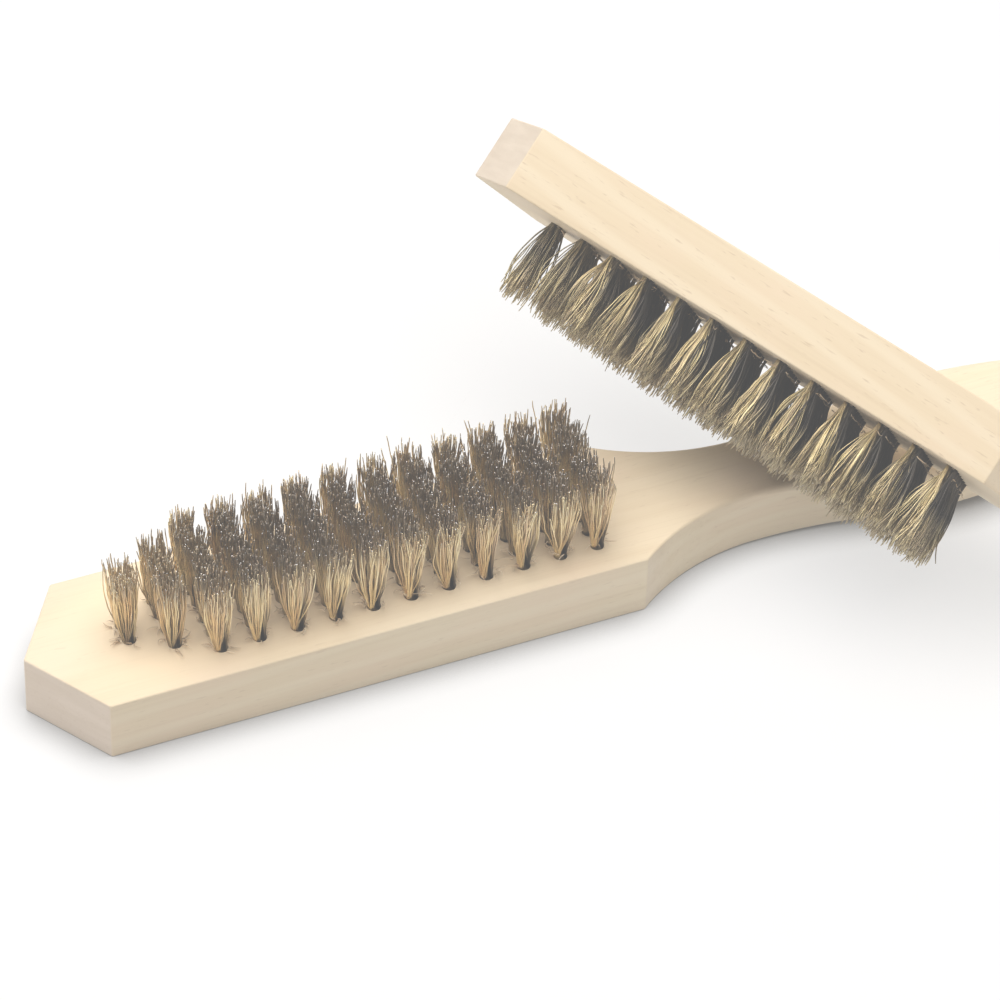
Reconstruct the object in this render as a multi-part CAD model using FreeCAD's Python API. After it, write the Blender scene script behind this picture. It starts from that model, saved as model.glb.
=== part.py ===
import FreeCAD, Part
import math
import os

# A pair of six-row wire scratch brushes. The lower brush lies on its flat back with its
# wires up. The upper brush leans across the lower one's handle with its wires down.
# Millimetres. +X runs from the nose to the handle of the lower brush, +Z is up, and the
# origin is on the back face of the lower brush, under the middle of its block.

# ---- driving dimensions of one brush, measured from its nose tip -------------------
OVERALL_LENGTH = 270.0
BLOCK_WIDTH = 40.5
BLOCK_THICKNESS = 15.8
NOSE_DEPTH = 13.0
SHOULDER_X = 140.5
WAIST_X = 172.5
WAIST_HALF_WIDTH = 9.4
WAIST_RADIUS_AFT = 110.0
BULGE_X = 226.0
BULGE_HALF_WIDTH = 17.1

# Edge rounding: crisp on the block, then growing along the handle.
CORNER_EASE = 0.7
BLOCK_EASE = 0.4
WAIST_EASE = 1.5
GRIP_EASE = 4.5
BULGE_EASE = 6.5

# Tuft field: six straight rows, staggered to a V at the nose.
TUFT_PITCH = 9.0
ROW_PITCH = 4.75
FIRST_TUFT_X = 23.6
LAST_COLUMN = 12
ROW_STARTS = (2, 1, 0, 0, 1, 2)
WIRE_LENGTH = 19.0
TUFT_SPREAD_ALONG = 7.6
TUFT_SPREAD_ACROSS = 4.4
OUTER_SPREAD_ACROSS = 5.6
OUTER_SPLAY = 0.9

# Blind holes and the flat wire anchors that pin each folded tuft.
HOLE_RADIUS = 1.6
HOLE_DEPTH = 9.5
HOLE_OVERCUT = 1.0
DRILL_TIP_HEIGHT = 0.9
ROOT_RADIUS = 1.55
FOLD_ABOVE_FLOOR = 0.3
ANCHOR_LENGTH = 4.0
ANCHOR_HEIGHT = 2.0
ANCHOR_THICKNESS = 0.45
ANCHOR_CORNER = 0.5
ANCHOR_ABOVE_FLOOR = 2.2

# ---- where the two brushes lie -------------------------------------------------------
ORIGIN_FROM_NOSE = 70.0
UPPER_NOSE = FreeCAD.Vector(64.4, 69.8, 59.3)
UPPER_YAW = -54.9
UPPER_PITCH = 11.75
UPPER_ROLL = 129.0

# ---- sizes that follow from those above -----------------------------------------------
ROW_COUNT = len(ROW_STARTS)
HOLE_FLOOR_Z = BLOCK_THICKNESS - HOLE_DEPTH
ANCHOR_Z = HOLE_FLOOR_Z + ANCHOR_ABOVE_FLOOR
FOLD_Z = HOLE_FLOOR_Z + FOLD_ABOVE_FLOOR
GRIP_RISE = BULGE_HALF_WIDTH - WAIST_HALF_WIDTH
GRIP_RUN = BULGE_X - WAIST_X
GRIP_TURN = 2 * math.atan(GRIP_RISE / GRIP_RUN)
GRIP_MEETING_X = WAIST_X + WAIST_RADIUS_AFT * math.sin(GRIP_TURN)


def vec(x, y, z=0.0):
    return FreeCAD.Vector(x, y, z)


def arc_point(centre, radius, angle):
    """Point on a circle, with the angle in radians from +X."""
    return vec(centre.x + radius * math.cos(angle), centre.y + radius * math.sin(angle))


def side_edges(side):
    """Outline edges of one side, from the nose tip to the butt. side is +1 or -1."""
    half = BLOCK_WIDTH / 2
    nose = vec(0, 0)
    cheek = vec(NOSE_DEPTH, side * half)
    shoulder = vec(SHOULDER_X, side * half)
    waist = vec(WAIST_X, side * WAIST_HALF_WIDTH)
    bulge = vec(BULGE_X, side * BULGE_HALF_WIDTH)

    # Concave arc from the shoulder corner, tangent to the axis at the waist.
    run = WAIST_X - SHOULDER_X
    drop = half - WAIST_HALF_WIDTH
    waist_radius = (run**2 + drop**2) / (2 * drop)
    waist_centre = vec(WAIST_X, side * (WAIST_HALF_WIDTH + waist_radius))
    half_turn = math.asin(run / waist_radius) / 2
    mid_angle = -side * math.pi / 2 - side * half_turn
    shoulder_mid = arc_point(waist_centre, waist_radius, mid_angle)
    sweep_in = Part.Arc(shoulder, shoulder_mid, waist).toShape()

    # S-curve from the waist to the bulge: two arcs that share a tangent.
    bulge_radius = GRIP_RUN / math.sin(GRIP_TURN) - WAIST_RADIUS_AFT
    hollow_centre = vec(WAIST_X, side * (WAIST_HALF_WIDTH + WAIST_RADIUS_AFT))
    bulge_centre = vec(BULGE_X, side * (BULGE_HALF_WIDTH - bulge_radius))
    hollow_start = -side * math.pi / 2
    crown_start = side * math.pi / 2
    hollow_mid_angle = hollow_start + side * GRIP_TURN / 2
    hollow_mid = arc_point(hollow_centre, WAIST_RADIUS_AFT, hollow_mid_angle)
    meeting = arc_point(hollow_centre, WAIST_RADIUS_AFT, hollow_start + side * GRIP_TURN)
    crown_mid = arc_point(bulge_centre, bulge_radius, crown_start + side * GRIP_TURN / 2)
    hollow = Part.Arc(waist, hollow_mid, meeting).toShape()
    crown = Part.Arc(meeting, crown_mid, bulge).toShape()

    # Quarter of an ellipse closes the butt.
    reach = OVERALL_LENGTH - BULGE_X
    ellipse = Part.Ellipse(vec(BULGE_X, 0), reach, BULGE_HALF_WIDTH)
    if side > 0:
        butt = ellipse.toShape(0, math.pi / 2)
    else:
        butt = ellipse.toShape(1.5 * math.pi, 2 * math.pi)

    straight = [Part.makeLine(nose, cheek), Part.makeLine(cheek, shoulder)]
    return straight + [sweep_in, hollow, crown, butt]


def ease_at(x):
    """Edge radius of the wood at a distance x from the nose."""
    stations = (
        (SHOULDER_X + CORNER_EASE, BLOCK_EASE),
        (WAIST_X, WAIST_EASE),
        (GRIP_MEETING_X, GRIP_EASE),
        (BULGE_X, BULGE_EASE),
    )
    if x <= stations[0][0]:
        return BLOCK_EASE
    for (x0, r0), (x1, r1) in zip(stations, stations[1:]):
        if x <= x1:
            return r0 + (r1 - r0) * (x - x0) / (x1 - x0)
    return BULGE_EASE


def is_upright(edge):
    low, high = edge.Vertexes[0].Z, edge.Vertexes[-1].Z
    return abs(high - low) > BLOCK_THICKNESS / 2


def is_corner(edge):
    """True for the five sharp upright edges: the nose, both cheeks and both shoulders."""
    return is_upright(edge) and edge.Vertexes[0].X < (SHOULDER_X + WAIST_X) / 2


def rounded(shape):
    """Round every edge of the two flat faces with the radius for its place."""
    document = FreeCAD.newDocument("rounding")
    base = document.addObject("Part::Feature", "base")
    base.Shape = shape
    fillet = document.addObject("Part::Fillet", "fillet")
    fillet.Base = base
    radii = []
    for number, edge in enumerate(shape.Edges, start=1):
        if is_upright(edge):
            continue
        start = edge.valueAt(edge.FirstParameter)
        end = edge.valueAt(edge.LastParameter)
        radii.append((number, ease_at(start.x), ease_at(end.x)))
    fillet.Edges = radii
    document.recompute()
    result = fillet.Shape.copy()
    FreeCAD.closeDocument("rounding")
    return result


def tuft_places():
    """(row, x, y) of every tuft. Row 1 is on the -Y side."""
    places = []
    for index, first in enumerate(ROW_STARTS):
        y = (index - (ROW_COUNT - 1) / 2) * ROW_PITCH
        for column in range(first, LAST_COLUMN + 1):
            places.append((index + 1, FIRST_TUFT_X + column * TUFT_PITCH, y))
    return places


def anchor():
    """Flat wire anchor that lies across the brush, with its lower corners cut to bite."""
    half = ANCHOR_LENGTH / 2
    side_x = -ANCHOR_THICKNESS / 2
    points = [
        vec(side_x, -half + ANCHOR_CORNER, ANCHOR_Z),
        vec(side_x, half - ANCHOR_CORNER, ANCHOR_Z),
        vec(side_x, half, ANCHOR_Z + ANCHOR_CORNER),
        vec(side_x, half, ANCHOR_Z + ANCHOR_HEIGHT),
        vec(side_x, -half, ANCHOR_Z + ANCHOR_HEIGHT),
        vec(side_x, -half, ANCHOR_Z + ANCHOR_CORNER),
    ]
    face = Part.Face(Part.makePolygon(points + points[:1]))
    return face.extrude(vec(ANCHOR_THICKNESS, 0))


def hole():
    """Drilled blind hole with its cone at the bottom and open at the wire face."""
    bore = Part.makeCylinder(HOLE_RADIUS, HOLE_DEPTH + HOLE_OVERCUT, vec(0, 0, HOLE_FLOOR_Z))
    tip = vec(0, 0, HOLE_FLOOR_Z - DRILL_TIP_HEIGHT)
    cone = Part.makeCone(0, HOLE_RADIUS, DRILL_TIP_HEIGHT, tip)
    return bore.fuse(cone).fuse(anchor()).removeSplitter()


def wood_body():
    """One piece of wood: block, waist and handle, with a blind hole for each tuft."""
    outline = Part.Wire(Part.__sortEdges__(side_edges(1) + side_edges(-1)))
    slab = Part.Face(outline).extrude(vec(0, 0, BLOCK_THICKNESS))
    corners = [edge for edge in slab.Edges if is_corner(edge)]
    slab = rounded(slab.makeFillet(CORNER_EASE, corners))
    drill = hole()
    holes = [drill.translated(vec(x, y, 0)) for row, x, y in tuft_places()]
    return slab.cut(Part.makeCompound(holes))


def tuft(row):
    """Bundle of wires folded round its anchor, fanned out above the wood."""
    outer = {1: -1, ROW_COUNT: 1}.get(row, 0)
    across = OUTER_SPREAD_ACROSS if outer else TUFT_SPREAD_ACROSS
    fold = Part.makeSphere(ROOT_RADIUS, vec(0, 0, FOLD_Z + ROOT_RADIUS))
    shank_z = FOLD_Z + ROOT_RADIUS
    shank = Part.makeCylinder(ROOT_RADIUS, BLOCK_THICKNESS - shank_z, vec(0, 0, shank_z))
    root_centre = vec(0, 0, BLOCK_THICKNESS)
    tip_centre = vec(0, outer * OUTER_SPLAY, BLOCK_THICKNESS + WIRE_LENGTH)
    foot = Part.Circle(root_centre, vec(0, 0, 1), ROOT_RADIUS).toShape()
    top = Part.Ellipse(tip_centre, TUFT_SPREAD_ALONG / 2, across / 2).toShape()
    fan = Part.makeLoft([Part.Wire(foot), Part.Wire(top)], True, True)
    return fold.fuse([shank, fan]).cut(anchor())


def lower_placement():
    return FreeCAD.Placement(vec(-ORIGIN_FROM_NOSE, 0), FreeCAD.Rotation())


def upper_placement():
    """UPPER_NOSE is the nose tip on the wire face, which looks down."""
    turn = FreeCAD.Rotation(UPPER_YAW, UPPER_PITCH, UPPER_ROLL)
    lift = FreeCAD.Placement(vec(0, 0, -BLOCK_THICKNESS), FreeCAD.Rotation())
    return FreeCAD.Placement(UPPER_NOSE, turn).multiply(lift)


def placed(shape, placement):
    return shape.transformed(placement.toMatrix())


def brush_nodes():
    """The pieces of one brush by name, in the brush's own frame."""
    nodes = {"wood_body": wood_body()}
    pin = anchor()
    for row in range(1, ROW_COUNT + 1):
        bundle = tuft(row)
        places = [vec(x, y, 0) for place_row, x, y in tuft_places() if place_row == row]
        nodes[f"tuft_row_{row}"] = Part.makeCompound([bundle.translated(at) for at in places])
        nodes[f"anchor_row_{row}"] = Part.makeCompound([pin.translated(at) for at in places])
    return nodes


def main():
    os.makedirs("parts", exist_ok=True)
    pieces = brush_nodes()
    for brush, placement in (("lower", lower_placement()), ("upper", upper_placement())):
        for name, shape in pieces.items():
            placed(shape, placement).exportStep(f"parts/{brush}_{name}.step")


main()
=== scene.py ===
import math

import bpy
import numpy as np
from mathutils import Matrix, Vector
from mathutils.bvhtree import BVHTree


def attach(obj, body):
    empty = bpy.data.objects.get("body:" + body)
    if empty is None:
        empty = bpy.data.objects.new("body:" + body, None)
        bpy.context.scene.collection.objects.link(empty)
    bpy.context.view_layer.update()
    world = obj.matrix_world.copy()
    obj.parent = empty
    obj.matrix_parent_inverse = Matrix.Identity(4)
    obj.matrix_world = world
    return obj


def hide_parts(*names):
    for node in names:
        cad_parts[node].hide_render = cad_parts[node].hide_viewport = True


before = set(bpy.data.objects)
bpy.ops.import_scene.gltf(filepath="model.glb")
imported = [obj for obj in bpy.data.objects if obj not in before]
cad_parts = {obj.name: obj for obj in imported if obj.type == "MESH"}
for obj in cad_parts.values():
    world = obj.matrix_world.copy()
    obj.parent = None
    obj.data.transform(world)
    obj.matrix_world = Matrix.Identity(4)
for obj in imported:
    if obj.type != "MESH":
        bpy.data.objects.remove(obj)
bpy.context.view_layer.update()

# A pair of wire scratch brushes: pale bare wood, brass-coloured wire tufts.
# Lengths are in metres. Each brush has a frame of its own, read from the CAD nodes:
# x from the nose to the handle, z from the back face to the wire tips, y across.
# The shared frame is the one of the CAD nodes.

MM = 0.001
ROWS = range(1, 7)
BRUSHES = ("lower", "upper")

# The camera, worked out from the photograph.
CAMERA_TARGET = Vector((0.0469, 0.0095, 0.0158))
CAMERA_AZIMUTH = 24.45
CAMERA_ELEVATION = 43.59
CAMERA_ROLL = 2.43
CAMERA_DISTANCE = 1.105
CAMERA_LENS = 175.4
CAMERA_SENSOR = 36.0

# Studio.
VEIL = 0.09
FLOOR_SIZE = 6.0
FLOOR_GLOW = 0.66
# How near a piece dims the floor's glow, as a painted contact shadow, and the share of the glow
# left under it.
GLOW_FADE = 9 * MM
GLOW_LEFT = 0.1
# World strength: from and to, by height for the white horizon and by y for the walls.
HORIZON = (0.07, 0.12, 0.9, 0.0)
WALLS = (-0.6, 0.6, 0.04, 0.32)
OVERHEAD_PLACE = (-0.15, 0.20, 2.15)
OVERHEAD_TARGET = (0.05, 0.0, 0.0)
OVERHEAD_SIZE = 3.2
OVERHEAD_POWER = 81.0
OVERHEAD_COLOUR = (1.0, 0.962, 0.928)
WHITE = (1.0, 1.0, 1.0, 1.0)

# Where a row's tufts are found in the CAD: below the face, with gaps between them.
ROOT_DEPTH = 1 * MM
TUFT_GAP = 3 * MM

# One tuft: about forty wires folded in half over the anchor. The fold leaves two legs: a
# full one on the nose side of the hole and a thin one behind it.
WIRES_PER_TUFT = (70, 86)  # legs of the folded wires
WIRE_RADIUS = 0.135 * MM
WIRE_SIDES = 5
WIRE_RINGS = 13
WIRE_DEPTH = 2.5 * MM
WIRE_RADIUS_SPREAD = (0.9, 1.1)
CUT_SLANT = 0.45
TIP_TAPER = 0.7
LEG_SPLIT = 0.40
BUNDLE_RADIUS = 1.40 * MM
BUNDLE_HALF_WIDTH = 0.98 * MM
FRONT_LEG = (-1.38 * MM, -0.28 * MM)
BACK_LEG = (0.85 * MM, 1.25 * MM)
TIP_SPREAD = (3.6 * MM, 2.6 * MM)
TUFT_OPENING = (0.9, 1.06)
OUTWARD_LEAN = 0.9 * MM
STRANDS = 30
STRAND_SPREAD = 1.03
# How far wires bow and stray from their strand.
UNRULY = {"lower": 0.42 * MM, "upper": 0.75 * MM}
# How tightly the wires of a strand cling together.
CLING = {"lower": (0.1, 0.55), "upper": (0.5, 0.95)}
STRAY_SHARE = 0.08
# Scatter in millimetres: of a whole tuft, of stray tips, of lengths, and of single wires.
TUFT_SWAY = 0.35
STRAY_SWAY = 1.6
STRAY_EXTRA = 1.4
LENGTH_SCATTER = (-1.0, 1.45)
LENGTH_LIMITS = (-5.0, 1.8)
WIRE_BOW = 0.16
CRIMP = 0.14
CRIMP_TURNS = (1.5, 3.0)
FLARE = (1.15, 1.7)
FLARE_SCATTER = 0.12
# Where the upper wires rest on the lower handle: the gap, and where the rays start.
REST_GAP = 1.2 * WIRE_RADIUS
RAY_START = 0.05
# Share of the wire ends that shine, row by row.
BRIGHT_END_SHARE = (0.20, 0.45, 0.45, 0.45, 0.45, 0.25)
# Tones of the wires, from brown through olive-gold to straw. The lower brush's copy is painted
# lighter as painted light and the upper's darker as painted shade: a lit and a shaded copy of
# the same brass.
BRASS_LIT_AND_SHADED = {
    "lower": ((0.80, 0.60, 0.40), (0.97, 0.81, 0.50), (1.0, 0.91, 0.62)),
    "upper": ((0.44, 0.34, 0.21), (0.70, 0.59, 0.33), (0.89, 0.77, 0.46)),
}
BRASS_PATCH = (0.60, 0.49, 0.38)
BRASS_SCRATCH = (0.42, 0.34, 0.23)
WORN_STEEL = (0.27, 0.225, 0.20)
# Near-black colour of the painted shade on the wires.
PAINTED_SHADE_COLOUR = (0.055, 0.055, 0.065)
# Share of worn steel at the tips, on the outer side of the outer rows and elsewhere. The
# first tufts at the nose are less worn, and less painted shade is put on them.
TIP_WEAR = {"lower": (0.22, 0.80), "upper": (0.12, 0.4)}
NOSE_WEAR_AND_SHADE_X = (22 * MM, 50 * MM)
NOSE_WEAR_AND_SHADE = (0.45, 1.0)
# Painted shade on the wires, near black, for the shade on the back of each tuft and in the inner
# rows:
# its least share in each row, where it ends up the wire, and where in the hole it starts, in
# millimetres from the hole's centre.
ROW_PAINTED_SHADE = (0.0, 0.5, 0.6, 0.6, 0.5, 0.0)
PAINTED_SHADE_TOP = {"lower": (0.15, 0.60), "upper": (0.50, 0.95)}
PAINTED_SHADE_START = -0.55
PAINTED_SHADE_WIDTH = 0.6

# Torn wood at the holes. How high it stands, and how many curls and chips each hole has.
FIBRE_LIFT = {"lower": 0.9 * MM, "upper": 0.8 * MM}
FIBRE_COUNTS = {"lower": ((6, 11), (2, 5)), "upper": ((1, 4), (0, 2))}
# Curls, then chips: shares on the handle and nose sides, length and half width in
# millimetres, and height as a share of the lift.
SHAVINGS = (
    ((0.6, 0.4), (1.4, 3.6), (0.11, 0.19), (0.2, 1.0)),
    ((0.75, 0.25), (0.5, 1.3), (0.11, 0.20), (0.05, 0.3)),
)
HOLE_RIM = (1.55, 1.95)  # millimetres from the hole's centre
SPLINTER_RINGS = 7
SPLINTER_SIDES = 5
SPLINTER_TAPER = 0.8

# The drilled field of the face, in the brush frame. Its edges are holes, not worn edges.
FIELD_START = 16 * MM
FIELD_END = 138 * MM
FIELD_HALF_WIDTH = 14.5 * MM
# Painted light on the drilled field: a warmer, lighter tint for the light the wires throw back
# onto the wood, which also lifts the tufts' shade. Where it fades in and out along, across and
# down.
PAINTED_BOUNCE_START = (8 * MM, 26 * MM)
PAINTED_BOUNCE_END = (148 * MM, 128 * MM)
PAINTED_BOUNCE_ACROSS = (20 * MM, 12 * MM)
PAINTED_BOUNCE_SHARE = 0.75
PAINTED_BOUNCE_DEPTH = (3 * MM, 0.5 * MM)
PAINTED_BOUNCE_WOOD = (0.97, 0.79, 0.55)
WORN_WOOD = (0.70, 0.555, 0.38)
EDGE_WIDTH = 0.9 * MM
# Darker and lighter tone of the end grain on each brush.
END_GRAIN = {
    "lower": ((0.74, 0.625, 0.505), (0.79, 0.675, 0.56)),
    "upper": ((0.66, 0.56, 0.445), (0.73, 0.63, 0.51)),
}
# How plain the short dark pores are on each brush.
FLECKS = {"lower": 0.2, "upper": 0.38}


# ---------------------------------------------------------------- reading the frame


def node_points(name):
    """Vertices of a CAD node as an array, in the shared frame."""
    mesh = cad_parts[name].data
    points = np.zeros(len(mesh.vertices) * 3)
    mesh.vertices.foreach_get("co", points)
    return points.reshape(-1, 3)


def unit(vector):
    return vector / np.linalg.norm(vector)


class Brush:
    """The frame and main sizes of one brush, worked out from its CAD nodes."""

    def __init__(self, name):
        self.name = name
        wood = node_points(f"{name}_wood_body")
        tufts = [node_points(f"{name}_tuft_row_{row}") for row in ROWS]
        anchors = [node_points(f"{name}_anchor_row_{row}") for row in ROWS]
        up = unit(sum(t.mean(0) for t in tufts) - sum(a.mean(0) for a in anchors))
        across = unit(anchors[-1].mean(0) - anchors[0].mean(0))
        up = unit(up - across * up.dot(across))
        along = np.cross(across, up)
        if along.dot(wood.mean(0) - tufts[2].mean(0)) < 0:
            across, along = -across, -along
        axes = np.stack([along, across, up])
        local = wood @ axes.T
        low, high = local.min(0), local.max(0)
        origin = np.array([low[0], (low[1] + high[1]) / 2, low[2]])
        self.axes = axes
        self.origin = origin @ axes
        self.length = high[0] - low[0]
        self.width = high[1] - low[1]
        self.thickness = high[2] - low[2]
        tips = self.to_local(tufts[0])
        self.wire_length = tips[:, 2].max() - self.thickness

    def to_local(self, points):
        return (points - self.origin) @ self.axes.T

    def to_shared(self, points):
        return points @ self.axes + self.origin

    def matrix(self):
        """Brush frame to shared frame."""
        place = Matrix.Identity(4)
        for i in range(3):
            for j in range(3):
                place[i][j] = self.axes[j][i]
            place[i][3] = self.origin[i]
        return place

    def tuft_roots(self, row):
        """(x, y) of every tuft of a row, from the parts of the node inside the wood."""
        points = self.to_local(node_points(f"{self.name}_tuft_row_{row}"))
        inside = points[points[:, 2] < self.thickness - ROOT_DEPTH]
        inside = inside[np.argsort(inside[:, 0])]
        breaks = np.where(np.diff(inside[:, 0]) > TUFT_GAP)[0] + 1
        groups = np.split(inside, breaks)
        return [((g[:, 0].min() + g[:, 0].max()) / 2, g[:, 1].mean()) for g in groups]


# ---------------------------------------------------------------- mesh helpers


def mesh_object(name, verts, faces, smooth=True):
    mesh = bpy.data.meshes.new(name)
    mesh.from_pydata(verts.tolist(), [], faces)
    mesh.update()
    mesh.polygons.foreach_set("use_smooth", [smooth] * len(mesh.polygons))
    obj = bpy.data.objects.new(name, mesh)
    bpy.context.scene.collection.objects.link(obj)
    return obj


def tubes(paths, radii, sides, cap_shear):
    """Tubes along many paths at once.

    paths is (count, rings, 3), radii (count, rings), cap_shear (count, 2) slants the end.
    Returns vertices, side faces, far end faces and near end faces.
    """
    count, rings = paths.shape[:2]
    tangent = np.gradient(paths, axis=1)
    tangent /= np.linalg.norm(tangent, axis=2, keepdims=True)
    reference = np.array([0.31, 0.95, 0.05])
    first = reference - tangent * (tangent @ reference)[..., None]
    first /= np.linalg.norm(first, axis=2, keepdims=True)
    second = np.cross(tangent, first)
    angles = np.arange(sides) * 2 * math.pi / sides
    ring = (
        first[:, :, None, :] * np.cos(angles)[None, None, :, None]
        + second[:, :, None, :] * np.sin(angles)[None, None, :, None]
    )
    verts = paths[:, :, None, :] + ring * radii[:, :, None, None]
    slant = cap_shear[:, :1] * np.cos(angles)[None] + cap_shear[:, 1:] * np.sin(angles)[None]
    verts[:, -1] += tangent[:, -1, None, :] * (slant * radii[:, -1:])[..., None]
    verts = verts.reshape(-1, 3)

    index = np.arange(count * rings * sides).reshape(count, rings, sides)
    right = np.roll(index, -1, axis=2)
    quads = np.stack([index[:, :-1], right[:, :-1], right[:, 1:], index[:, 1:]], axis=-1)
    side_faces = quads.reshape(-1, 4).tolist()
    ends = index[:, -1, :].tolist()
    starts = index[:, 0, ::-1].tolist()
    return verts, side_faces, ends, starts


# ---------------------------------------------------------------- wires


def bundle(count, unruly, cling, rng):
    """Places of a tuft's wires in the hole and at the tips, and strand, painted shade and side.
    """
    spiral = np.arange(count) + 0.5
    radius = np.sqrt(spiral / count)
    angle = spiral * math.pi * (3 - math.sqrt(5)) + rng.uniform(0, 2 * math.pi)
    disc = np.stack([radius * np.cos(angle), radius * np.sin(angle)], axis=1)
    front = disc[:, 0] < LEG_SPLIT
    root_x = np.where(
        front,
        np.interp(disc[:, 0], (-1, LEG_SPLIT), FRONT_LEG),
        np.interp(disc[:, 0], (LEG_SPLIT, 1), BACK_LEG),
    )
    reach = np.sqrt(np.maximum(BUNDLE_RADIUS ** 2 - root_x ** 2, 0))
    chord = np.sqrt(np.maximum(1 - disc[:, 0] ** 2, 0.01))
    root_y = disc[:, 1] / chord * np.minimum(reach, BUNDLE_HALF_WIDTH)
    root = np.stack([root_x, root_y], axis=1)
    tip = disc * np.array(TIP_SPREAD) * rng.uniform(*TUFT_OPENING)
    # Two or three wires cling together in a strand, and each strand goes its own way.
    centres = tip[rng.choice(count, STRANDS, replace=False)]
    strand = np.argmin(np.linalg.norm(tip[:, None] - centres[None], axis=2), axis=1)
    centres = centres * STRAND_SPREAD + rng.normal(0, unruly, (STRANDS, 2))
    tip += (centres[strand] - tip) * rng.uniform(*cling, (count, 1))
    # Painted shade grows towards the handle side of the hole, where the back leg and the back of
    # the tuft lie in shade.
    painted_shade = np.clip((root_x / MM - PAINTED_SHADE_START) / PAINTED_SHADE_WIDTH, 0, 1)
    return root, tip, strand, painted_shade, disc[:, 1]


def tuft_wires(brush, row, roots, rng):
    """Centre lines of a row's wires in the brush frame, and their tones, painted shades and
    wears.
    """
    middle = (ROWS[0] + ROWS[-1]) / 2
    outward = (row - middle) / (ROWS[-1] - middle)
    step = np.linspace(-WIRE_DEPTH / brush.wire_length, 1, WIRE_RINGS)
    above = np.clip(step, 0, 1)[None, :]
    wear_outside, wear_inside = TIP_WEAR[brush.name]
    unruly, cling = UNRULY[brush.name], CLING[brush.name]
    lines, tones, painted_shades, wears = [], [], [], []
    for x, y in roots:
        count = rng.integers(*WIRES_PER_TUFT)
        root, tip, strand, painted_shade, side = bundle(count, unruly, cling, rng)
        outside = np.clip(0.5 + 2.5 * side * outward, 0, 1) if abs(outward) == 1 else 0
        wear_and_shade_scale = np.interp(x, NOSE_WEAR_AND_SHADE_X, NOSE_WEAR_AND_SHADE)
        wear = wear_inside + (wear_outside - wear_inside) * outside * np.ones(count)
        wears.append(wear_and_shade_scale * wear)
        tip += rng.normal(0, TUFT_SWAY, 2) * MM + np.array([0, outward * OUTWARD_LEAN])
        stray = rng.random(count) < STRAY_SHARE
        tip += np.where(stray[:, None], rng.normal(0, STRAY_SWAY, (count, 2)) * MM, 0)
        scatter = np.clip(rng.normal(*LENGTH_SCATTER, count), *LENGTH_LIMITS)
        length = brush.wire_length + scatter * MM
        length += np.where(stray, rng.uniform(0, STRAY_EXTRA, count) * MM, 0)
        flare = rng.uniform(*FLARE) + rng.normal(0, FLARE_SCATTER, count)
        share = 1 - (1 - above) ** flare[:, None]
        offset = root[:, None, :] + (tip - root)[:, None, :] * share[..., None]
        # A slow bow and the crimp left from twisting, both zero at the hole.
        bow = rng.normal(0, 1.0, (STRANDS, 1, 2))[strand] * unruly
        bow += rng.normal(0, WIRE_BOW, (count, 1, 2)) * MM
        offset += bow * np.sin(math.pi * above)[..., None]
        phase = rng.uniform(0, 2 * math.pi, (STRANDS, 1))[strand]
        turns = rng.uniform(*CRIMP_TURNS, (STRANDS, 1))[strand]
        crimp = CRIMP * MM * np.sin(phase + turns * 2 * math.pi * above)
        crimp = crimp * np.minimum(above * 4, 1)
        heading = rng.uniform(0, 2 * math.pi, (STRANDS, 1))[strand]
        offset[..., 0] += crimp * np.cos(heading)
        offset[..., 1] += crimp * np.sin(heading)
        lean = np.linalg.norm(tip - root, axis=1) / length
        height = brush.thickness + (length * (1 - 0.5 * lean ** 2))[:, None] * step[None, :]
        lines.append(np.concatenate([offset + np.array([x, y]), height[..., None]], axis=2))
        tones.append(0.75 * rng.random(STRANDS)[strand] + 0.25 * rng.random(count))
        # The painted shade is scaled down at the nose, like the wear.
        painted_shades.append(wear_and_shade_scale * painted_shade)
    return [np.concatenate(values) for values in (lines, tones, painted_shades, wears)]


def rest_on(lines, tree, gap):
    """Lifts points of shared-frame lines that would sink into the surface of tree."""
    down = Vector((0, 0, -1))
    for line in lines:
        for point in line:
            hit = tree.ray_cast(Vector((point[0], point[1], RAY_START)), down)[0]
            if hit is not None and 0 < point[2] < hit.z + gap:
                point[2] = hit.z + gap
    return lines


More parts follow.
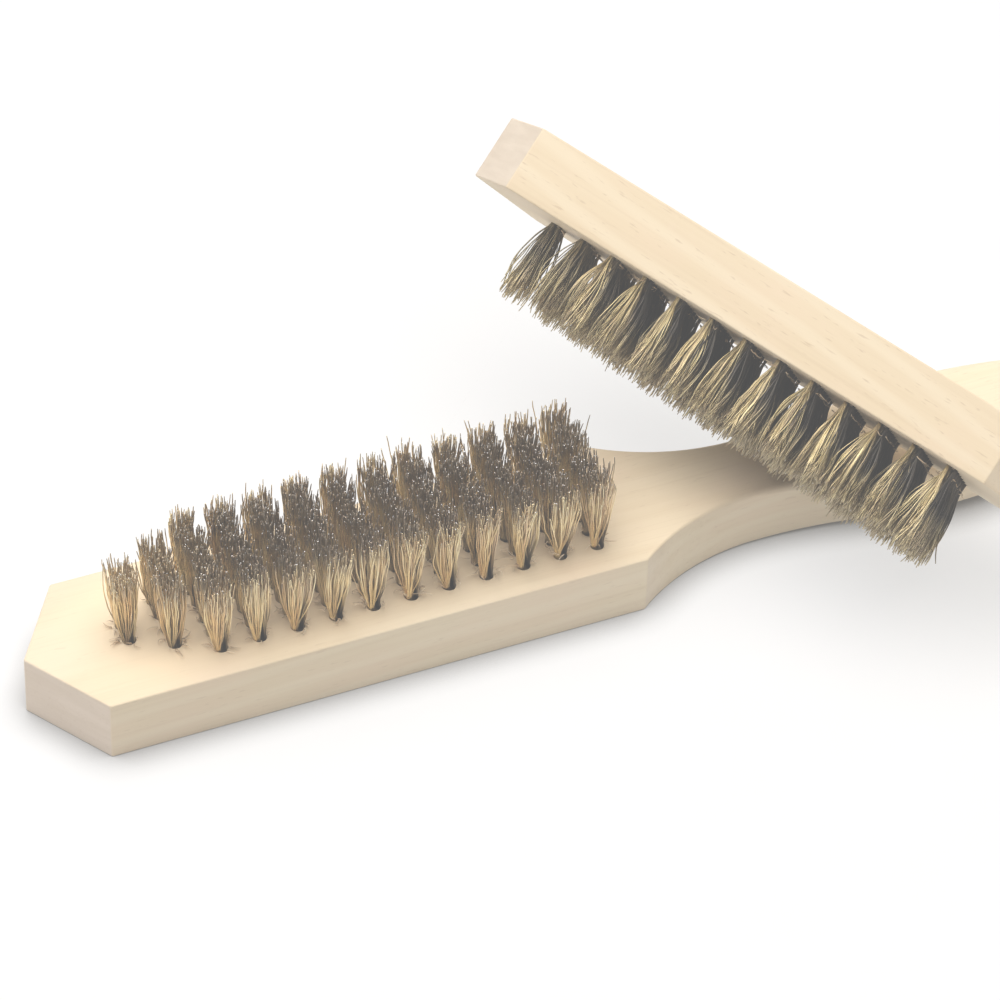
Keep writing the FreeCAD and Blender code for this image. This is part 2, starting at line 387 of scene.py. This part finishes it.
def wire_row(brush, row, materials, rng, under):
    """The visible wires of one row, in place of its CAD tufts, laid on any surface under."""
    lines, tone, painted_shade, wear = tuft_wires(brush, row, brush.tuft_roots(row), rng)
    lines = brush.to_shared(lines)
    if under is not None:
        lines = rest_on(lines, under, REST_GAP)
    count = len(lines)
    radii = np.full((count, WIRE_RINGS), WIRE_RADIUS)
    radii *= rng.uniform(*WIRE_RADIUS_SPREAD, (count, 1))
    radii[:, -1] *= TIP_TAPER
    shear = rng.normal(0, CUT_SLANT, (count, 2))
    verts, sides, ends, starts = tubes(lines, radii, WIRE_SIDES, shear)
    obj = mesh_object(f"{brush.name}_wires_row_{row}", verts, sides + ends + starts)
    mesh = obj.data
    mesh.materials.append(materials["wire"])
    mesh.materials.append(materials["cut_end"])
    first_end = len(sides)
    flags = np.zeros(len(mesh.polygons), dtype=np.int32)
    flags[first_end:first_end + count] = rng.random(count) < BRIGHT_END_SHARE[row - 1]
    mesh.polygons.foreach_set("material_index", flags)
    smooth = np.ones(len(mesh.polygons), dtype=bool)
    smooth[first_end:] = False
    mesh.polygons.foreach_set("use_smooth", smooth)
    per_wire = WIRE_RINGS * WIRE_SIDES
    steps = np.repeat(np.linspace(0, 1, WIRE_RINGS), WIRE_SIDES)
    values = {
        "tone": np.repeat(tone, per_wire),
        "rise": np.tile(steps, count),
        # Each row has a least share of painted shade: the inner rows stand in shade.
        "painted_shade": np.repeat(np.maximum(painted_shade, ROW_PAINTED_SHADE[row - 1]), per_wire),
        "wear": np.repeat(wear, per_wire),
    }
    for name, numbers in values.items():
        mesh.attributes.new(name, "FLOAT", "POINT").data.foreach_set("value", numbers)
    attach(obj, f"{brush.name}_brush")
    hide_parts(f"{brush.name}_tuft_row_{row}")
    return obj


# ---------------------------------------------------------------- torn wood round the holes


def splinter(centre, side, reach, width, lift, rng):
    """One shaving: starts at the rim on the given side and curls away. Path and radii."""
    t = np.linspace(0, 1, SPLINTER_RINGS)
    angle = side + rng.normal(0, 0.75)
    start = centre + np.array([math.cos(angle), math.sin(angle)]) * rng.uniform(*HOLE_RIM) * MM
    turn = angle + rng.normal(0, 0.9) + rng.normal(0, 1.3) * t
    px = start[0] + np.cumsum(np.cos(turn)) * reach / SPLINTER_RINGS
    py = start[1] + np.cumsum(np.sin(turn)) * reach / SPLINTER_RINGS
    pz = lift * np.sin(math.pi * (t * rng.uniform(0.45, 0.85) + 0.08)) - 0.3 * width
    return np.stack([px, py, pz], axis=1), width * (1 - SPLINTER_TAPER * t ** 1.5)


def torn_fibres(brush, materials, rng):
    """Shavings and chips that the drill and the wires raised at each hole's rim."""
    paths, radii = [], []
    lift = FIBRE_LIFT[brush.name]
    kinds = [(many, *kind) for many, kind in zip(FIBRE_COUNTS[brush.name], SHAVINGS)]
    centres = [np.array(centre) for row in ROWS for centre in brush.tuft_roots(row)]
    for centre in centres:
        for many, shares, lengths, widths, lifts in kinds:
            for _ in range(rng.integers(*many)):
                side = rng.choice([0, math.pi], p=shares)
                size = rng.uniform(*lengths) * MM, rng.uniform(*widths) * MM
                path, radius = splinter(centre, side, *size, rng.uniform(*lifts) * lift, rng)
                paths.append(path)
                radii.append(radius)
    paths = np.array(paths) + np.array([0, 0, brush.thickness])
    shear = np.zeros((len(paths), 2))
    lines = brush.to_shared(paths)
    verts, sides, ends, starts = tubes(lines, np.array(radii), SPLINTER_SIDES, shear)
    obj = mesh_object(f"{brush.name}_torn_fibres", verts, sides + ends + starts)
    shades = np.repeat(rng.random(len(paths)), SPLINTER_RINGS * SPLINTER_SIDES)
    obj.data.attributes.new("tone", "FLOAT", "POINT").data.foreach_set("value", shades)
    obj.data.materials.append(materials["fibre"])
    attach(obj, f"{brush.name}_brush")
    return obj


# ---------------------------------------------------------------- materials


class Tree:
    """A short way to write a node tree."""

    def __init__(self, tree):
        self.tree = tree

    def add(self, kind, **settings):
        node = self.tree.nodes.new(kind)
        for key, value in settings.items():
            setattr(node, key, value)
        return node

    def link(self, source, target):
        self.tree.links.new(source, target)

    def set(self, node, values):
        for key, value in values.items():
            node.inputs[key].default_value = value

    def place(self):
        return self.add("ShaderNodeTexCoord").outputs["Object"]

    def attribute(self, name):
        return self.add("ShaderNodeAttribute", attribute_name=name).outputs["Fac"]

    def split(self, vector):
        node = self.add("ShaderNodeSeparateXYZ")
        self.link(vector, node.inputs[0])
        return node.outputs

    def noise(self, vector, scale, detail=4.0, roughness=0.5):
        node = self.add("ShaderNodeTexNoise")
        self.set(node, {"Scale": scale, "Detail": detail, "Roughness": roughness})
        self.link(vector, node.inputs["Vector"])
        return node.outputs["Fac"]

    def wave(self, vector):
        node = self.add("ShaderNodeTexWave", bands_direction="Z")
        self.set(node, {"Scale": 0.8, "Distortion": 5.0, "Detail": 2.0, "Detail Scale": 0.7})
        self.link(vector, node.inputs["Vector"])
        return node.outputs["Fac"]

    def mapping(self, vector, scale, rotation=(0, 0, 0), location=(0, 0, 0)):
        node = self.add("ShaderNodeMapping")
        self.set(node, {"Scale": scale, "Rotation": rotation, "Location": location})
        self.link(vector, node.inputs["Vector"])
        return node.outputs["Vector"]

    def span(self, value, low, high, to_low=0.0, to_high=1.0):
        node = self.add("ShaderNodeMapRange")
        numbers = {"From Min": low, "From Max": high, "To Min": to_low, "To Max": to_high}
        self.set(node, numbers)
        self.link(value, node.inputs["Value"])
        return node.outputs["Result"]

    def math(self, operation, a, b=None):
        node = self.add("ShaderNodeMath", operation=operation)
        for socket, value in zip(node.inputs, (a, b)):
            if value is None:
                continue
            if isinstance(value, (int, float)):
                socket.default_value = value
            else:
                self.link(value, socket)
        return node.outputs["Value"]

    def mix(self, factor, a, b):
        # Inputs 6 and 7 and output 2 are the Mix node's colours.
        node = self.add("ShaderNodeMix", data_type="RGBA")
        for socket, value in zip((node.inputs[i] for i in (0, 6, 7)), (factor, a, b)):
            if isinstance(value, (int, float)):
                socket.default_value = value
            elif isinstance(value, tuple):
                socket.default_value = value + (1.0,)
            else:
                self.link(value, socket)
        return node.outputs[2]

    def bump(self, height, strength, distance):
        node = self.add("ShaderNodeBump")
        self.set(node, {"Strength": strength, "Distance": distance})
        self.link(height, node.inputs["Height"])
        return node.outputs["Normal"]


class Nodes(Tree):
    """The node tree of a new material."""

    def __init__(self, name):
        self.material = bpy.data.materials.new(name)
        self.material.use_nodes = True
        super().__init__(self.material.node_tree)
        self.shader = self.tree.nodes["Principled BSDF"]


def brush_turn(brush):
    """Place and turn of the shared frame as seen from the brush."""
    inverse = brush.matrix().inverted()
    return tuple(inverse.translation), tuple(inverse.to_euler("XYZ"))


def end_grain(n, brush, place, shift):
    """Colour of the end grain, greyer and with fine pores, and how far a face shows it."""
    facing = n.add("ShaderNodeMapping", vector_type="VECTOR")
    n.set(facing, {"Rotation": brush_turn(brush)[1]})
    n.link(n.add("ShaderNodeTexCoord").outputs["Normal"], facing.inputs["Vector"])
    along = n.split(facing.outputs["Vector"])["X"]
    share = n.span(n.math("ABSOLUTE", along), 0.45, 0.85)
    pores = n.noise(n.mapping(place, (900, 1500, 1500), location=shift), 1.0, 2)
    rings = n.noise(n.mapping(place, (40, 60, 420), location=shift), 1.0, 3)
    tone = n.mix(n.span(rings, 0.35, 0.65), *END_GRAIN[brush.name])
    tone = n.mix(n.span(pores, 0.58, 0.72, 0, 0.22), tone, (0.62, 0.49, 0.37))
    return tone, share


def painted_bounce_field(n, brush, x, y, z):
    """How far a point lies in the drilled field, where a warmer, lighter tint is painted as
    bounce light from the wires.
    """
    along = n.math("MULTIPLY", n.span(x, *PAINTED_BOUNCE_START), n.span(x, *PAINTED_BOUNCE_END))
    across = n.span(n.math("ABSOLUTE", y), *PAINTED_BOUNCE_ACROSS, 0, PAINTED_BOUNCE_SHARE)
    face = n.span(z, *(brush.thickness - depth for depth in PAINTED_BOUNCE_DEPTH))
    return n.math("MULTIPLY", n.math("MULTIPLY", along, across), face)


def worn_edges(n, mottle, x, y):
    """Handled edges outside the drilled field."""
    bevel = n.add("ShaderNodeBevel", samples=4)
    n.set(bevel, {"Radius": EDGE_WIDTH})
    dot = n.add("ShaderNodeVectorMath", operation="DOT_PRODUCT")
    n.link(bevel.outputs["Normal"], dot.inputs[0])
    n.link(n.add("ShaderNodeNewGeometry").outputs["Normal"], dot.inputs[1])
    edge = n.span(dot.outputs["Value"], 0.995, 0.93, 0, 1)
    worn = n.math("MULTIPLY", edge, n.span(mottle, 0.35, 0.65, 0.35, 1.0))
    after_start = n.math("GREATER_THAN", x, FIELD_START)
    before_end = n.math("LESS_THAN", x, FIELD_END)
    inner = n.math("LESS_THAN", n.math("ABSOLUTE", y), FIELD_HALF_WIDTH)
    field = n.math("MULTIPLY", n.math("MULTIPLY", after_start, before_end), inner)
    return n.math("MAXIMUM", n.math("SUBTRACT", worn, field), 0.0)


def wood_material(brush, seed):
    """Bare sanded pale wood with its grain along the brush."""
    n = Nodes(f"{brush.name}_pale_wood")
    translation, turn = brush_turn(brush)
    place = n.mapping(n.place(), (1, 1, 1), turn, translation)
    shift = (seed * 0.37, seed * 0.11, seed * 0.23)
    broad = n.noise(n.mapping(place, (5, 22, 22), location=shift), 1.0, 3)
    streak = n.noise(n.mapping(place, (11, 380, 260), location=shift), 1.0, 5, 0.6)
    line = n.noise(n.mapping(place, (4, 1500, 900), location=shift), 1.0, 3)
    fleck = n.noise(n.mapping(place, (260, 1700, 1700), location=shift), 1.0, 2)
    mottle = n.noise(n.mapping(place, (120, 160, 160), location=shift), 1.0, 4, 0.7)
    cloud = n.noise(n.mapping(place, (35, 60, 60), location=shift), 1.0, 2)
    figure = n.wave(n.mapping(place, (14, 60, 60), (0.10, 0.22, 0.16), shift))

    colour = n.mix(n.span(broad, 0.35, 0.65), (0.81, 0.675, 0.475), (0.855, 0.735, 0.54))
    # Each layer: its noise, where it starts and is full, its share and its colour.
    layers = (
        (streak, 0.45, 0.75, 0.42, (0.735, 0.59, 0.39)),
        (line, 0.52, 0.72, 0.22, (0.66, 0.52, 0.35)),
        (mottle, 0.55, 0.8, 0.25, (0.86, 0.71, 0.56)),
        (cloud, 0.42, 0.66, 0.45, (0.85, 0.68, 0.51)),
        (figure, 0.55, 0.95, 0.45, (0.88, 0.77, 0.58)),
        (fleck, 0.64, 0.74, FLECKS[brush.name], (0.52, 0.38, 0.24)),
    )
    for noise, start, full, share, tone in layers:
        colour = n.mix(n.span(noise, start, full, 0, share), colour, tone)
    end_tone, end_share = end_grain(n, brush, place, shift)
    colour = n.mix(end_share, colour, end_tone)
    x, y, z = (n.split(place)[axis] for axis in "XYZ")
    # Painted bounce light: the drilled field is tinted warmer and lighter.
    colour = n.mix(painted_bounce_field(n, brush, x, y, z), colour, PAINTED_BOUNCE_WOOD)
    # Worn edges are a little darker and smoother than the faces.
    worn = worn_edges(n, mottle, x, y)
    colour = n.mix(n.math("MULTIPLY", worn, 0.35), colour, WORN_WOOD)
    n.link(colour, n.shader.inputs["Base Color"])

    fine = n.math("ADD", n.math("MULTIPLY", streak, 0.6), n.math("MULTIPLY", mottle, 0.4))
    rough = n.span(fine, 0.3, 0.7, 0.50, 0.68)
    rough = n.math("SUBTRACT", rough, n.math("MULTIPLY", worn, 0.12))
    n.link(rough, n.shader.inputs["Roughness"])
    height = n.math("ADD", n.math("MULTIPLY", line, 0.5), n.math("MULTIPLY", streak, 0.5))
    height = n.math("ADD", height, n.math("MULTIPLY", fleck, 0.35))
    n.link(n.bump(height, 0.3, 0.05 * MM), n.shader.inputs["Normal"])
    n.set(n.shader, {"Specular IOR Level": 0.30, "Sheen Weight": 0.06, "Sheen Roughness": 0.4})
    return n.material


def torn_material(name, pale, dark, fine):
    """Torn wood: browner than the sanded face where fibres were crushed, pale where split."""
    n = Nodes(name)
    tone = n.attribute("tone")
    place = n.place()
    patch = n.noise(place, fine, 3)
    blend = n.math("ADD", n.math("MULTIPLY", tone, 0.6), n.math("MULTIPLY", patch, 0.5))
    n.link(n.mix(n.span(blend, 0.2, 0.8), dark, pale), n.shader.inputs["Base Color"])
    n.link(n.span(patch, 0.3, 0.7, 0.6, 0.8), n.shader.inputs["Roughness"])
    n.link(n.bump(n.noise(place, 5 * fine, 2), 0.5, 0.06 * MM), n.shader.inputs["Normal"])
    n.set(n.shader, {"Specular IOR Level": 0.25})
    return n.material


def wire_material(brush):
    """Brass-coated steel wire: golden along its length, steel-grey towards the cut tip."""
    n = Nodes(f"{brush.name}_brass_wire")
    names = ("tone", "rise", "painted_shade", "wear")
    tone, rise, painted_shade, wear = (n.attribute(name) for name in names)
    place = n.place()
    patch = n.noise(place, 260, 3)
    drawn = n.noise(place, 5200, 2)
    # Painted light and shade: the lower brush's brass is painted lighter, the upper's darker.
    brown, olive, straw = BRASS_LIT_AND_SHADED[brush.name]
    brass = n.mix(n.span(tone, 0.0, 0.45), brown, olive)
    brass = n.mix(n.span(tone, 0.45, 1.0), brass, straw)
    brass = n.mix(n.span(patch, 0.45, 0.7, 0, 0.4), brass, BRASS_PATCH)
    brass = n.mix(n.span(drawn, 0.55, 0.75, 0, 0.25), brass, BRASS_SCRATCH)
    worn = n.math("MULTIPLY", wear, n.span(rise, 0.74, 0.95))
    brass = n.mix(worn, brass, WORN_STEEL)
    # Painted shade: near black from the hole up the wire, on the back of each tuft and in the
    # inner rows.
    painted_shade_share = n.math("MULTIPLY", painted_shade, n.span(rise, *PAINTED_SHADE_TOP[brush.name], 0.92, 0.0))
    brass = n.mix(painted_shade_share, brass, PAINTED_SHADE_COLOUR)
    n.link(brass, n.shader.inputs["Base Color"])
    rough = n.math("ADD", n.span(drawn, 0.3, 0.7, 0.25, 0.39), n.math("MULTIPLY", tone, 0.08))
    n.link(rough, n.shader.inputs["Roughness"])
    n.link(n.bump(drawn, 0.2, 0.02 * MM), n.shader.inputs["Normal"])
    n.set(n.shader, {"Metallic": 0.95})
    return n.material


def cut_end_material():
    """Freshly sheared steel at the end of each wire."""
    n = Nodes("cut_wire_end")
    place = n.place()
    grain = n.noise(place, 9000, 2)
    n.link(n.mix(grain, (0.74, 0.74, 0.76), (0.92, 0.92, 0.94)), n.shader.inputs["Base Color"])
    n.link(n.span(grain, 0.3, 0.7, 0.2, 0.4), n.shader.inputs["Roughness"])
    n.link(n.bump(grain, 0.2, 0.02 * MM), n.shader.inputs["Normal"])
    n.set(n.shader, {"Metallic": 0.6})
    return n.material


def anchor_material():
    """Flat steel wire inside the holes."""
    n = Nodes("anchor_steel")
    place = n.place()
    drawn = n.noise(n.mapping(place, (300, 4000, 4000)), 1.0, 3)
    n.link(n.mix(drawn, (0.42, 0.41, 0.39), (0.62, 0.61, 0.58)), n.shader.inputs["Base Color"])
    n.link(n.span(drawn, 0.3, 0.7, 0.3, 0.5), n.shader.inputs["Roughness"])
    n.link(n.bump(drawn, 0.2, 0.02 * MM), n.shader.inputs["Normal"])
    n.set(n.shader, {"Metallic": 1.0})
    return n.material


def paint(obj, material):
    """Gives a CAD node its finished material."""
    if not obj.material_slots:
        obj.data.materials.append(material)
    for slot in obj.material_slots:
        slot.material = material


# ---------------------------------------------------------------- studio


def floor():
    """Plain pale floor under both brushes."""
    corners = ((-1, -1, 0), (1, -1, 0), (1, 1, 0), (-1, 1, 0))
    points = np.array(corners) * FLOOR_SIZE
    obj = mesh_object("studio_floor", points, [(0, 1, 2, 3)], smooth=False)
    n = Nodes("studio_floor")
    place = n.place()
    tone = n.noise(place, 40, 2)
    n.link(n.mix(tone, (0.27, 0.27, 0.27), (0.29, 0.29, 0.29)), n.shader.inputs["Base Color"])
    n.link(n.span(tone, 0.3, 0.7, 0.75, 0.85), n.shader.inputs["Roughness"])
    # The glow fades where something stands close: a painted contact shadow round the brushes.
    open_sky = n.add("ShaderNodeAmbientOcclusion", samples=8)
    n.set(open_sky, {"Distance": GLOW_FADE})
    glow = n.span(open_sky.outputs["AO"], 0.3, 0.95, GLOW_LEFT * FLOOR_GLOW, FLOOR_GLOW)
    n.link(glow, n.shader.inputs["Emission Strength"])
    n.set(n.shader, {"Specular IOR Level": 0.1, "Emission Color": WHITE})
    obj.data.materials.append(n.material)


def overhead_panel():
    light = bpy.data.lights.new("overhead", "AREA")
    light.shape = "DISK"
    light.size = OVERHEAD_SIZE
    light.energy = OVERHEAD_POWER
    light.color = OVERHEAD_COLOUR
    obj = bpy.data.objects.new("overhead", light)
    obj.location = OVERHEAD_PLACE
    aim = Vector(OVERHEAD_TARGET) - Vector(OVERHEAD_PLACE)
    obj.rotation_euler = aim.to_track_quat("-Z", "Y").to_euler()
    bpy.context.scene.collection.objects.link(obj)


def lights():
    """Soft studio: a white horizon, dim walls, the dimmest in front, and an overhead panel."""
    world = bpy.data.worlds.new("studio")
    world.use_nodes = True
    n = Tree(world.node_tree)
    background = n.tree.nodes["Background"]
    direction = n.split(n.add("ShaderNodeTexCoord").outputs["Generated"])
    horizon = n.span(direction["Z"], *HORIZON)
    walls = n.span(direction["Y"], *WALLS)
    n.link(n.math("ADD", horizon, walls), background.inputs["Strength"])
    n.set(background, {"Color": WHITE})
    bpy.context.scene.world = world
    overhead_panel()


def picture_tone():
    """Plain tone curve with the slight veil that a bright white surround gives a lens."""
    view = bpy.context.scene.view_settings
    view.view_transform = "Standard"
    view.use_curve_mapping = True
    view.curve_mapping.black_level = (-VEIL, -VEIL, -VEIL)
    view.curve_mapping.update()


def camera():
    """Camera at the photograph's viewing angle."""
    azimuth = math.radians(CAMERA_AZIMUTH)
    elevation = math.radians(CAMERA_ELEVATION)
    look = Vector((
        math.sin(azimuth) * math.cos(elevation),
        math.cos(azimuth) * math.cos(elevation),
        -math.sin(elevation),
    ))
    data = bpy.data.cameras.new("camera")
    data.lens = CAMERA_LENS
    data.sensor_width = CAMERA_SENSOR
    data.clip_start = 0.01
    data.clip_end = 50.0
    obj = bpy.data.objects.new("camera", data)
    turn = look.to_track_quat("-Z", "Y").to_matrix()
    turn = turn @ Matrix.Rotation(math.radians(CAMERA_ROLL), 3, "Z")
    obj.matrix_world = Matrix.Translation(CAMERA_TARGET - look * CAMERA_DISTANCE) @ turn.to_4x4()
    bpy.context.scene.collection.objects.link(obj)
    bpy.context.scene.camera = obj


# ---------------------------------------------------------------- build


def build():
    camera()
    lights()
    floor()
    picture_tone()

    shared = {
        "cut_end": cut_end_material(),
        "fibre": torn_material("torn_wood_fibre", (0.88, 0.75, 0.57), (0.58, 0.42, 0.26), 900),
    }
    steel = anchor_material()
    lower_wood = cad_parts["lower_wood_body"]
    lower_tree = BVHTree.FromObject(lower_wood, bpy.context.evaluated_depsgraph_get())
    for seed, name in enumerate(BRUSHES, start=1):
        brush = Brush(name)
        rng = np.random.default_rng(100 + seed)
        shared["wire"] = wire_material(brush)
        paint(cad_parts[f"{name}_wood_body"], wood_material(brush, seed))
        for row in ROWS:
            paint(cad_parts[f"{name}_anchor_row_{row}"], steel)
            under = lower_tree if (name, row) == ("upper", ROWS[0]) else None
            wire_row(brush, row, shared, rng, under)
        torn_fibres(brush, shared, rng)


build()
